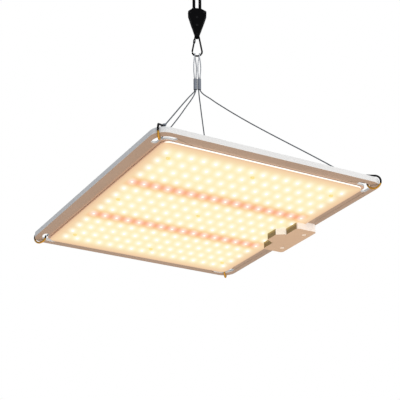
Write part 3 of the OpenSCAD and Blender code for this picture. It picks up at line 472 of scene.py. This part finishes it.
def resampled(points, spacing):
    """Points a spacing apart along a smooth curve through the given ones."""
    p = np.asarray(points, float)
    run = np.concatenate([[0], np.cumsum(np.linalg.norm(np.diff(p, axis=0), axis=1))])
    slope = np.gradient(p, run, axis=0)
    at = np.linspace(0, run[-1], max(2, int(round(run[-1] / spacing)) + 1))
    k = np.clip(np.searchsorted(run, at, side="right") - 1, 0, len(run) - 2)
    gap = (run[k + 1] - run[k])[:, None]
    t = (at - run[k])[:, None] / gap
    curve = ((2 * t**3 - 3 * t**2 + 1) * p[k] + (t**3 - 2 * t**2 + t) * gap * slope[k]
             + (3 * t**2 - 2 * t**3) * p[k + 1] + (t**3 - t**2) * gap * slope[k + 1])
    return curve, at


def add_piece(name, verts, faces, body, look, replaces=(), smooth=True):
    """A mesh in millimetres of the part's frame, made into a piece that rides on a body."""
    mesh = bpy.data.meshes.new(name)
    mesh.from_pydata((np.asarray(verts, float) * MM).tolist(), [], [tuple(int(i) for i in f) for f in faces])
    mesh.update()
    for key in [look] if isinstance(look, str) else look:
        mesh.materials.append(MATERIALS[key])
    mesh.polygons.foreach_set("use_smooth", [smooth] * len(mesh.polygons))
    piece = bpy.data.objects.new(name, mesh)
    scene.collection.objects.link(piece)
    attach(piece, body)
    if replaces:
        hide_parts(*replaces)
    return piece


def tube(points, run, sides, profile):
    """Verts and faces of a tube whose radius at an angle and a distance along is profile(angle, run)."""
    n = len(points)
    way = np.gradient(points, axis=0)
    way /= np.linalg.norm(way, axis=1)[:, None]
    across = np.zeros((n, 3))
    first = np.array([1.0, 0, 0]) if abs(way[0][2]) > 0.8 else np.array([0, 0, 1.0])
    for i in range(n):
        first = unit(first - (first @ way[i]) * way[i])
        across[i] = first
    other = np.cross(way, across)
    angle = np.arange(sides) * 2 * math.pi / sides
    radius = profile(angle[None, :], run[:, None]) * np.ones((n, sides))
    ring = (across[:, None, :] * np.cos(angle)[None, :, None] + other[:, None, :] * np.sin(angle)[None, :, None])
    verts = (points[:, None, :] + ring * radius[:, :, None]).reshape(-1, 3)
    quads = [(i * sides + k, i * sides + (k + 1) % sides, (i + 1) * sides + (k + 1) % sides, (i + 1) * sides + k)
             for i in range(n - 1) for k in range(sides)]
    ends = [tuple(reversed(range(sides))), tuple(range((n - 1) * sides, n * sides))]
    return verts, quads + ends


def joined(parts):
    """One list of verts and faces from several."""
    verts, faces, base = [], [], 0
    for v, f in parts:
        verts.append(np.asarray(v, float))
        faces += [tuple(i + base for i in face) for face in f]
        base += len(v)
    return np.concatenate(verts), faces


# ---------------------------------------------------------------- rope

BRAID_STRANDS = 8
BRAID_CELL = 1.9


def braid(radius):
    """A two-over-one braid's surface: strands of two hands, each passing over the other in turn."""
    def profile(angle, run):
        p = BRAID_STRANDS * angle / (2 * math.pi) + run / BRAID_CELL
        q = BRAID_STRANDS * angle / (2 * math.pi) - run / BRAID_CELL
        over = (np.floor(p) + np.floor(q)) % 2 < 1
        a, b = np.sin(math.pi * (p % 1)), np.sin(math.pi * (q % 1))
        height = np.where(over, a ** 0.6 * (0.55 + 0.45 * b), b ** 0.6 * (0.55 + 0.45 * a))
        return radius * (0.93 + 0.07 * height)
    return profile


def braided(points, radius=ROPE_R, sides=48, spacing=0.4):
    curve, run = resampled(points, spacing)
    return tube(curve, run, sides, braid(radius))


def make_rope():
    low, high = MOUTH_H - 1.2, KNOT_H + 1.5
    for side, name in ((-1, "left"), (1, "right")):
        line = [hanger((side * STRAND_X, 0, h)) for h in np.linspace(low, high, 16)]
        verts, faces = braided(line)
        strand = add_piece("rope_strand_" + name, verts, faces, "hanger_top", "rope", ["rope"])
        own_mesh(strand)


def make_knot():
    """The knot: wraps round both strands, and the tails that come out of it."""
    turns, half_x, half_y = 3.0, 5.35, 3.75
    wraps = []
    for k in np.linspace(0, 1, 90):
        a = 2 * math.pi * turns * k + 0.6
        rise = KNOT_H + ROPE_R + 0.2 + (KNOT_L - 2 * ROPE_R - 0.4) * k
        wraps.append(hanger((half_x * math.cos(a), half_y * math.sin(a), rise)))
    inner = []
    for k in np.linspace(0, 1, 40):
        inner.append(hanger((STRAND_X * math.cos(math.pi * k) * (1 - 0.5 * math.sin(math.pi * k)),
                             3.2 * math.sin(math.pi * k), KNOT_H + 1.0 + 13.0 * math.sin(math.pi * k / 2) ** 2)))
    parts = [braided(wraps), braided(inner)]
    for side in (-1, 1):
        leg = []
        for t in np.linspace(0, 1, 14):
            e = t * t * (3 - 2 * t)
            bight_y = side * BIGHT_R
            leg.append(hanger((side * STRAND_X * (1 - e), bight_y * e, KNOT_H + 0.8 + t * (KNOT_L + 1.2))))
        parts.append(braided(leg))
    verts, faces = joined(parts)
    add_piece("rope_knot_wraps", verts, faces, "hanger_top", "rope", ["rope_knot"])


def make_bight():
    r = BIGHT_R
    top = EYE_H - UPPER_EYE_R
    line = [(0, -r, h) for h in np.linspace(KNOT_H + KNOT_L - 1.5, top, 10, endpoint=False)]
    line += [(0, -r * math.cos(a), top + r * math.sin(a)) for a in np.linspace(0, math.pi, 17)]
    line += [(0, r, h) for h in np.linspace(top, KNOT_H + KNOT_L - 1.5, 11)[1:]]
    verts, faces = braided([hanger(p) for p in line])
    add_piece("rope_bight_braid", verts, faces, "hanger_top", "rope", ["rope_bight"])


# ---------------------------------------------------------------- cables

SLOT_CENTRE = (TRAY[0] / 2 - 10 - 12, TRAY[1] / 2 - 11 - 12)
SLOT_OUT_R = 15.25
HOOK_SPOT = tuple(math.radians(a) for a in (37, 51, 51, 51))
HOOK_TURN = tuple(math.radians(a) for a in (55, 51, 51, 51))
HOOK_RISE = tuple(math.radians(a) for a in (35, 22, 29, 18))
BAR_W = math.hypot(22, 23) - SLOT_OUT_R - 16 * (math.sqrt(2) - 1)
BOW_MID = (BAR_W / 2 + 0.05, 3.75)
HOOK_L, CORNER_EYE_R = 25.0, 3.0
STRAND_OFF = 0.83
EYE_BEND_R, LOOP_BEND_R = 1.97, 2.01
EYE_L, END_SLEEVE_L = 7.0, 7.0
LEG_BOW = (-1.0, 4.3, 5.0, 17.0)
# t * t * (1 - t) times this is 1 at its highest
BOW_SHAPE = 6.75
LOOP_SIDE = 2.8
LOWER_BOW_H, LOWER_BOW_R = 219.4, 6.0
SADDLE_H = LOWER_BOW_H - math.sqrt(LOWER_BOW_R**2 - LOOP_SIDE**2)
# how much higher the loops stand than their solids, to clear the hook as the light swings
LOOP_SLACK = 0.06
LOOP_RISE = LOOP_BEND_R * LOWER_BOW_R / math.sqrt(LOWER_BOW_R**2 - LOOP_SIDE**2) + LOOP_SLACK


def corner_point(i, p):
    cx, cy = CORNERS[i]
    angle = math.atan2(cy * math.sin(HOOK_TURN[i]), cx * math.cos(HOOK_TURN[i]))
    out = (cx * (SLOT_CENTRE[0] + SLOT_OUT_R * math.cos(HOOK_SPOT[i])),
           cy * (SLOT_CENTRE[1] + SLOT_OUT_R * math.sin(HOOK_SPOT[i])), FACE_Z)
    return turned(p, angle) + np.array(out)


def leg_frame(i):
    """Where a cable's eye bears on its hook, the way the cable leaves it, and the level way across."""
    x = BOW_MID[0] - HOOK_L * math.cos(HOOK_RISE[i])
    z = BOW_MID[1] + HOOK_L * math.sin(HOOK_RISE[i])
    aim = leg_top(i) - np.array([0, 0, 1.5 * LEG_BOW[i]])
    pull = aim - corner_point(i, (x, 0, z))
    rise = math.atan2(pull[2], math.hypot(pull[0], pull[1]))
    bear = corner_point(i, (x - CORNER_EYE_R * math.cos(rise), 0, z + CORNER_EYE_R * math.sin(rise)))
    way = unit(aim - bear)
    return bear, way, unit(np.cross(way, (0, 0, 1)))


def leg_top(i):
    u = (-1 if i in (0, 3) else 1) * (SLEEVE_U + (STRAND_OFF if i < 2 else -STRAND_OFF))
    return hanger((u, 0, SLEEVE_H))


def eye_width(t):
    return STRAND_OFF + (EYE_BEND_R - STRAND_OFF) * max(0.0, math.sin(math.pi / 2 * t)) ** 1.4


def eye_points(i):
    b, w, s = leg_frame(i)
    down = [b + EYE_L * (1 - t) * w - eye_width(t) * s for t in np.arange(0, 1.01, 0.2)]
    bend = [b - EYE_BEND_R * math.sin(a) * w - EYE_BEND_R * math.cos(a) * s
            for a in np.radians(range(30, 151, 30))]
    up = [b + EYE_L * (1 - t) * w + eye_width(t) * s for t in np.arange(1, -0.01, -0.2)]
    return ([b + (EYE_L + END_SLEEVE_L - 0.2) * w - STRAND_OFF * s] + down + bend + up
            + [b + (EYE_L + END_SLEEVE_L + 1) * w + STRAND_OFF * s])


def leg_points(i):
    b, w, s = leg_frame(i)
    a = b + (EYE_L + END_SLEEVE_L + 1) * w + STRAND_OFF * s
    d = leg_top(i) - np.array([0, 0, 2.5])
    return [a + t * (d - a) - np.array([0, 0, BOW_SHAPE * LEG_BOW[i] * t * t * (1 - t)])
            for t in np.arange(0.08, 1.0, 0.092)]


def loop_strand(u, way, t):
    h = SLEEVE_H + TOP_SLEEVE_L + t * (SADDLE_H - SLEEVE_H - TOP_SLEEVE_L)
    w = (STRAND_OFF + (LOOP_BEND_R - STRAND_OFF) * max(0.0, math.sin(math.pi / 2 * t)) ** 1.2
         + 0.35 * math.sin(math.pi * t))
    a = math.pi / 2 * t**1.5
    shift = u * (SLEEVE_U + (LOOP_SIDE - SLEEVE_U) * t)
    return hanger((shift + way * w * math.cos(a), way * w * math.sin(a), h))


def loop_points(u):
    over = [hanger((u * LOOP_SIDE, -LOOP_BEND_R * math.cos(a), SADDLE_H + LOOP_RISE * math.sin(a)))
            for a in np.radians(range(10, 171, 10))]
    return ([loop_strand(u, -1, t) for t in np.arange(0, 1.01, 0.1)] + over
            + [loop_strand(u, 1, t) for t in np.arange(1, -0.01, -0.1)])


def cable_points(u, first, last):
    return (eye_points(first) + leg_points(first) + [leg_top(first)] + loop_points(u)
            + [leg_top(last)] + leg_points(last)[::-1] + eye_points(last)[::-1])


def wire_rope(angle, run, pitch=9.0):
    """Six strands laid round a seventh: the outline of the six, turning along the cable."""
    lay = (angle + 2 * math.pi * run / pitch) % (math.pi / 3)
    off = np.abs(lay - math.pi / 6)
    d, r = CABLE_R * 2 / 3, CABLE_R / 3
    return d * np.cos(off) + np.sqrt(np.maximum(r * r - (d * np.sin(off)) ** 2, 0.0))


def make_cables():
    for name, u, first, last in (("left", -1, 0, 3), ("right", 1, 2, 1)):
        curve, run = resampled(cable_points(u, first, last), 0.6)
        verts, faces = tube(curve, run, 24, wire_rope)
        add_piece(name + "_cable_strands", verts, faces, "light", "wire", [name + "_cable"])


# ---------------------------------------------------------------- diodes

def diode_spots(red):
    for j in range(LED_GRID[1]):
        for i in range(LED_GRID[0]):
            x = (i - (LED_GRID[0] - 1) / 2) * LED_PITCH[0]
            y = (j - (LED_GRID[1] - 1) / 2) * LED_PITCH[1]
            under_tab = x > COVER_IN_X - TAB_REACH - 2 and abs(y) < TAB_HALF + 2
            if (j in RED_ROWS) == red and not under_tab:
                yield x, y


def package():
    """One diode: a bevelled square frame round a shallow cup of domed silicone."""
    count, half, edge = 16, LED_SIDE / 2, 0.12
    loops = []

    def square(h, size):
        ring = []
        for k in range(count):
            a = 2 * math.pi * (k + 0.5) / count
            grow = size / max(abs(math.cos(a)), abs(math.sin(a)))
            reach = min(grow, size * 1.33)
            ring.append((reach * math.cos(a), reach * math.sin(a), h))
        loops.append(ring)

    def circle(h, r):
        turn = [2 * math.pi * (k + 0.5) / count for k in range(count)]
        loops.append([(r * math.cos(a), r * math.sin(a), h) for a in turn])

    square(LED_H, half)
    square(edge, half)
    square(0.0, half - edge)
    circle(0.0, 1.16)
    circle(0.14, 1.06)
    circle(0.05, 0.72)
    circle(0.02, 0.36)
    verts = [p for ring in loops for p in ring] + [(0, 0, 0.01)]
    faces, kinds = [tuple(range(count))], [0]
    for level in range(len(loops) - 1):
        for k in range(count):
            a, b = level * count + k, level * count + (k + 1) % count
            faces.append((b, a, a + count, b + count))
            kinds.append(1 if level >= 4 else 0)
    last = (len(loops) - 1) * count
    for k in range(count):
        faces.append((last + (k + 1) % count, last + k, len(verts) - 1))
        kinds.append(1)
    return np.array(verts), faces, kinds


def make_diodes():
    shape, faces, kinds = package()
    for red, node, looks in ((False, "white_diodes", ["package", "phosphor"]),
                             (True, "red_diodes", ["red_package", "red_phosphor"])):
        spots = list(diode_spots(red))
        verts, all_faces = joined([(shape + np.array([x, y, LED_Z]), faces) for x, y in spots])
        piece = add_piece(node[:-1] + "_packages", verts, all_faces, "light", looks,
                          [node], smooth=False)
        piece.data.polygons.foreach_set("material_index", kinds * len(spots))


# ---------------------------------------------------------------- softer edges on the CAD's pieces

def soften(name, width_mm, segments=2, angle=32):
    node = nodes[name]
    weld = node.modifiers.new("weld", "WELD")
    weld.merge_threshold = 1e-6
    bevel = node.modifiers.new("bevel", "BEVEL")
    bevel.width, bevel.segments = width_mm * MM, segments
    bevel.limit_method, bevel.angle_limit = "ANGLE", math.radians(angle)
    bevel.use_clamp_overlap = False
    bevel.harden_normals = True


# ---------------------------------------------------------------- studio

def make_studio():
    scene.view_settings.view_transform = "Standard"
    scene.view_settings.look = "None"
    world = bpy.data.worlds.new("studio")
    scene.world = world
    world.use_nodes = True
    s = Shader("studio", world.node_tree)
    back = next(n for n in world.node_tree.nodes if n.type == "BACKGROUND")
    x, y, z = s.split(s.node("ShaderNodeTexCoord").outputs["Generated"])
    near = s.step(s.math("MULTIPLY", y, -1.0), -0.2, 0.9)
    left = s.step(s.math("MULTIPLY", x, -1.0), 0.1, 0.9)
    sky = s.mix(near, (0.52, 0.54, 0.57), (1.25, 1.24, 1.22))
    sky = s.mix(s.math("MULTIPLY", left, 0.75), sky, (0.30, 0.33, 0.37))
    camera_ray = s.node("ShaderNodeLightPath").outputs["Is Camera Ray"]
    s.feed(back.inputs["Color"], s.mix(camera_ray, sky, (1.0, 1.0, 1.0)))
    back.inputs["Strength"].default_value = 1.0

    floor_mat = coat("floor_paper", (0.80, 0.79, 0.78), (0.78, 0.77, 0.76), 0.85, grain=60.0).mat
    size, level, parts = 9.0, -2.3, 12
    side = np.linspace(-size, size, parts + 1)
    mesh = bpy.data.meshes.new("floor")
    mesh.from_pydata([(a, b, level) for b in side for a in side], [],
                     [(j * (parts + 1) + i, j * (parts + 1) + i + 1, (j + 1) * (parts + 1) + i + 1,
                       (j + 1) * (parts + 1) + i) for j in range(parts) for i in range(parts)])
    mesh.materials.append(floor_mat)
    floor = bpy.data.objects.new("floor", mesh)
    scene.collection.objects.link(floor)
    area_light("warm_bounce", (0.15, -0.1, -1.7), (0, 0, -0.37), 1.6, 14.0, (1.0, 0.70, 0.44))
    area_light("key", (-0.3, -2.6, 0.5), (0, 0, -0.3), 1.2, 10.0, (1.0, 0.99, 0.97))


set_camera()
make_knot()
make_rope()
make_bight()
make_cables()
make_diodes()
for name, width in (("heat_sink_tray", 0.4), ("driver_case", 0.3), ("driver_rear_cap", 0.5),
                    ("driver_front_cap", 0.5), ("diode_board", 0.2)):
    soften(name, width)
make_studio()
